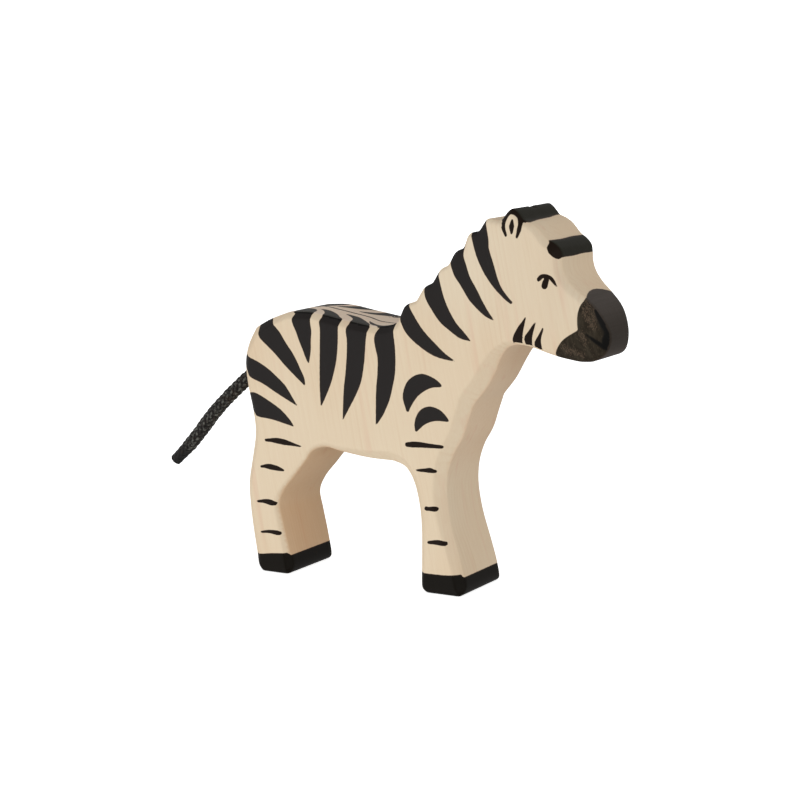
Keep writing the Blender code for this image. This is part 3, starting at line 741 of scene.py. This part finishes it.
wood_material, shader, shade = finish("painted_wood", Specular_IOR_Level=0.10)
spot = shade.place(LEAN)
across = shade.node("ShaderNodeSeparateXYZ", {}, {"Vector": spot}, "X")
through = shade.node("ShaderNodeSeparateXYZ", {}, {"Vector": spot}, "Y")
forward = shade.node("ShaderNodeSeparateXYZ", {}, {"Vector": shade.place()}, "X")
level = shade.node("ShaderNodeSeparateXYZ", {}, {"Vector": shade.place()}, "Z")
sawn = shade.mark("sawn")
sway = (shade.noise(1.0, (60.0, 60.0, 14.0), 2.0, 0.0, LEAN) - 0.5) * 0.003
east = across + sway - PITH[0]
north = through - sway - PITH[1]
ring = shade.reckon("FRACT", shade.reckon("SQRT", east * east + north * north) / RING_STEP)
patchy = shade.noise(1.0, (150.0, 150.0, 20.0), 2.0, 0.0, LEAN).step(0.42, 0.66)
late_wood = ring.step(0.45, 0.85) * (1 - ring.step(0.88, 1.0)) * patchy
fibres = shade.noise(1.0, (1500.0, 1500.0, 60.0), 3.0, 0.0, LEAN)
flecks = shade.noise(1.0, (2600.0, 2600.0, 260.0), 2.0, 3.0, LEAN).step(0.66, 0.76)
pink = shade.noise(1.0, (330.0, 330.0, 16.0), 2.0, 7.0, LEAN).step(0.56, 0.76)
cloud = shade.noise(26.0, (1.0, 1.0, 0.5), 2.0, 11.0)
colour = cloud.step(0.3, 0.7).blend(WOOD_PALE, WOOD_WARM)
colour = (pink * 0.36).blend(colour, WOOD_PINK)
colour = (late_wood * 0.13).blend(colour, RING_TINT, "MULTIPLY")
colour = ((fibres - 0.35) * 0.34).blend(colour, RING_TINT, "MULTIPLY")
colour = (flecks * 0.16).blend(colour, WOOD_PINK)
# Painted shade: the sawn faces under the belly and in front of the hind leg are darkened and warmed, as if
# they lay in shade between the legs.
arch_shade_mask = sawn * (1 - forward.step(-0.024, -0.016)) * (1 - level.step(0.040, 0.048))
colour = (arch_shade_mask * forward.step(-0.055, -0.048)).blend(colour, ARCH_SHADE, "MULTIPLY")
# Painted light: the sawn faces of the chest are warmed, standing in for the warm light thrown back onto them.
chest = sawn * forward.step(0.006, 0.012) * level.step(0.028, 0.046) * (1 - level.step(0.078, 0.082))
colour = chest.blend(colour, CHEST_BOUNCE_LIGHT, "MULTIPLY")
# Painted light: the flanks grow a little paler and cooler from the neck up to the head.
head_light = (1 - sawn) * level.step(0.074, 0.096)
colour = head_light.blend(colour, HEAD_LIGHT_TINT, "MULTIPLY")
# Painted light: the top of the back is paler wood, as it catches more light from above, and its black paint
# is greyed with a painted sheen.
back_top_light = sawn.step(0.6, 0.95) * level.step(0.076, 0.078) * (1 - forward.step(-0.008, -0.004))
colour = back_top_light.blend(colour, BACK_LIGHT_TINT, "MULTIPLY")
# Painted shade: the wood darkens round the hole where the cord goes in, a painted contact shadow.
colour = ((1 - shade.mark("root_gap").step(1.9, 3.6)) * 0.85).blend(colour, ROOT_SHADE, "MULTIPLY")

ragged = (shade.noise(900.0, detail=3.0) - 0.5) * 0.14 + (fibres - 0.5) * 0.08
cover = (shade.mark("black") + ragged).step(-0.07, 0.09)
thin_line = (0.52 - shade.reckon("ABSOLUTE", shade.mark("dorsal")) + ragged * 1.8).step(-0.08, 0.08)
cover = shade.reckon("MAXIMUM", cover, thin_line * shade.mark("dorsal_end").step(-0.5, 1.0))
brushed = shade.noise(1.0, (700.0, 700.0, 120.0), 3.0, 5.0, LEAN)
paint = sawn.step(0.6, 0.95).blend(PAINT_BLACK, PAINT_SAWN)
# Painted sheen on the black along the top of the back, broken up by the brush.
paint = (back_top_light * (0.25 + brushed * 0.4)).blend(paint, PAINT_GREY)
paint = (brushed.step(0.60, 0.85) * 0.12).blend(paint, PAINT_GREY)
seam = sawn.step(0.25, 0.6) * (1 - sawn.step(0.90, 1.0)) * level.step(0.076, 0.078)
paint = seam.blend(paint, STAIN_DEEP)
paint = level.step(0.0084, 0.0080).blend(paint, PAINT_HOOF)
paint = (shade.mark("black") + ragged).step(0.0, 0.45).blend(PAINT_THIN, paint)
paint = shade.mark("fine_strokes").step(-0.3, 0.15).blend(paint, PAINT_FINE)
tint = (shade.mark("stain") + ragged).step(-0.08, 0.12)
streaks = shade.noise(1.0, (900.0, 900.0, 260.0), 4.0, 9.0, LEAN * 2)
specks = shade.noise(1.0, (4200.0, 4200.0, 1500.0), 2.0, 13.0, LEAN * 2)
muzzle = streaks.step(0.35, 0.7).blend(STAIN_DARK, STAIN_LIGHT)
rub = (specks + shade.mark("rubbed").step(-0.9, 0.5) * 0.17).step(0.58, 0.76)
muzzle = (rub * 0.42).blend(muzzle, STAIN_RUBBED)
muzzle = (shade.mark("deep") + (specks - 0.5) * 0.4).step(-0.25, 0.35).blend(muzzle, STAIN_DEEP)
front = level.step(0.083, 0.094).blend(level.step(0.0765, 0.080).blend(FRONT_BOTTOM, FRONT_MIDDLE), FRONT_TOP)
saw_lines = shade.noise(1.0, (500.0, 60.0, 1500.0), 2.0, 15.0)
front = (saw_lines.step(0.35, 0.7) * 0.22).blend(front, STAIN_DARK)
muzzle = sawn.step(0.55, 0.9).blend(muzzle, front)
colour = tint.blend(colour, muzzle)
colour = cover.blend(colour, paint)
connect(colour, shader.inputs["Base Color"])
wet = shade.reckon("MAXIMUM", cover, tint)
connect(0.62 - wet * 0.12 + (fibres - 0.5) * 0.1, shader.inputs["Roughness"])
relief = fibres * (1 - wet * 0.6) + wet * 0.9 + brushed * wet * 0.5
grain = {"Height": relief, "Strength": 0.35, "Distance": 0.00008}
connect(shade.node("ShaderNodeBump", {}, grain, "Normal"), shader.inputs["Normal"])

body.data.materials.append(wood_material)
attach(body, "root")
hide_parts("zebra_body")


# The studio: a white floor that bends up into a white shell all round, a broad soft light on either side of
# the camera, and one behind the zebra that the paint doesn't mirror. A light from below, which the floor lets
# through, stands for the light that the floor throws back.

SWEEP_SIDES = 96
BODY_MIDDLE = (0.0, 0.0, 0.06)


def sweep_surface():
    """A round floor, quarter circle, wall and ceiling: a profile of (distance, height) carried round the
    middle."""
    bend = np.linspace(0.0, np.pi / 2, 24)
    reach = np.concatenate([(0.02,), 1.7 + 0.8 * np.sin(bend), (2.5, 0.02)])
    height = np.concatenate([(0.0,), 0.8 - 0.8 * np.cos(bend), (2.5, 3.5)])
    turn = np.linspace(0.0, 2 * np.pi, SWEEP_SIDES, endpoint=False)[:, None]
    heights = np.tile(height, (SWEEP_SIDES, 1))
    points = np.stack([np.cos(turn) * reach, np.sin(turn) * reach, heights], axis=2).reshape(-1, 3)
    ray, spot = np.meshgrid(np.arange(SWEEP_SIDES), np.arange(len(reach) - 1), indexing="ij")
    here = ray * len(reach) + spot
    beside = (ray + 1) % SWEEP_SIDES * len(reach) + spot
    quads = np.stack([here, beside, beside + 1, here + 1], axis=2).reshape(-1, 4).tolist()
    middle = np.arange(SWEEP_SIDES) * len(reach)
    return points, quads + [middle.tolist()[::-1], (middle + len(reach) - 1).tolist()]


floor_material, shader, shade = finish("white_paper", Base_Color=(0.93, 0.93, 0.93, 1.0), Roughness=0.9,
                                       Emission_Color=(1.0, 1.0, 1.0, 1.0), Emission_Strength=0.8)
sweep = piece("paper_sweep", *sweep_surface())
sweep.data.materials.append(floor_material)
sweep.visible_diffuse = False
sweep.visible_glossy = False
sweep.visible_shadow = False


def lamp(name, place, aim, size, power, shine=True):
    """A square soft light of that size, turned towards the aim; without shine the paint doesn't mirror it."""
    light = bpy.data.lights.new(name, "AREA")
    light.size = size
    light.energy = power
    thing = bpy.data.objects.new(name, light)
    thing.location = place
    thing.visible_glossy = shine
    thing.rotation_euler = (Vector(aim) - Vector(place)).to_track_quat("-Z", "Y").to_euler()
    bpy.context.scene.collection.objects.link(thing)


lamp("left", (-1.2, -0.9, 0.15), BODY_MIDDLE, 0.9, 4.6)
lamp("right", (1.3, -0.7, 0.5), BODY_MIDDLE, 1.2, 6.2)
lamp("low", (-0.3, -1.1, -0.6), BODY_MIDDLE, 0.9, 5.4)
lamp("behind", (-0.4, 1.4, 0.35), BODY_MIDDLE, 1.2, 5.0, shine=False)
world = bpy.data.worlds.new("studio")
world.use_nodes = True
background = world.node_tree.nodes["Background"]
background.inputs["Color"].default_value = (1.0, 1.0, 1.0, 1.0)
background.inputs["Strength"].default_value = 0.50
bpy.context.scene.world = world
bpy.context.scene.view_settings.view_transform = "Standard"
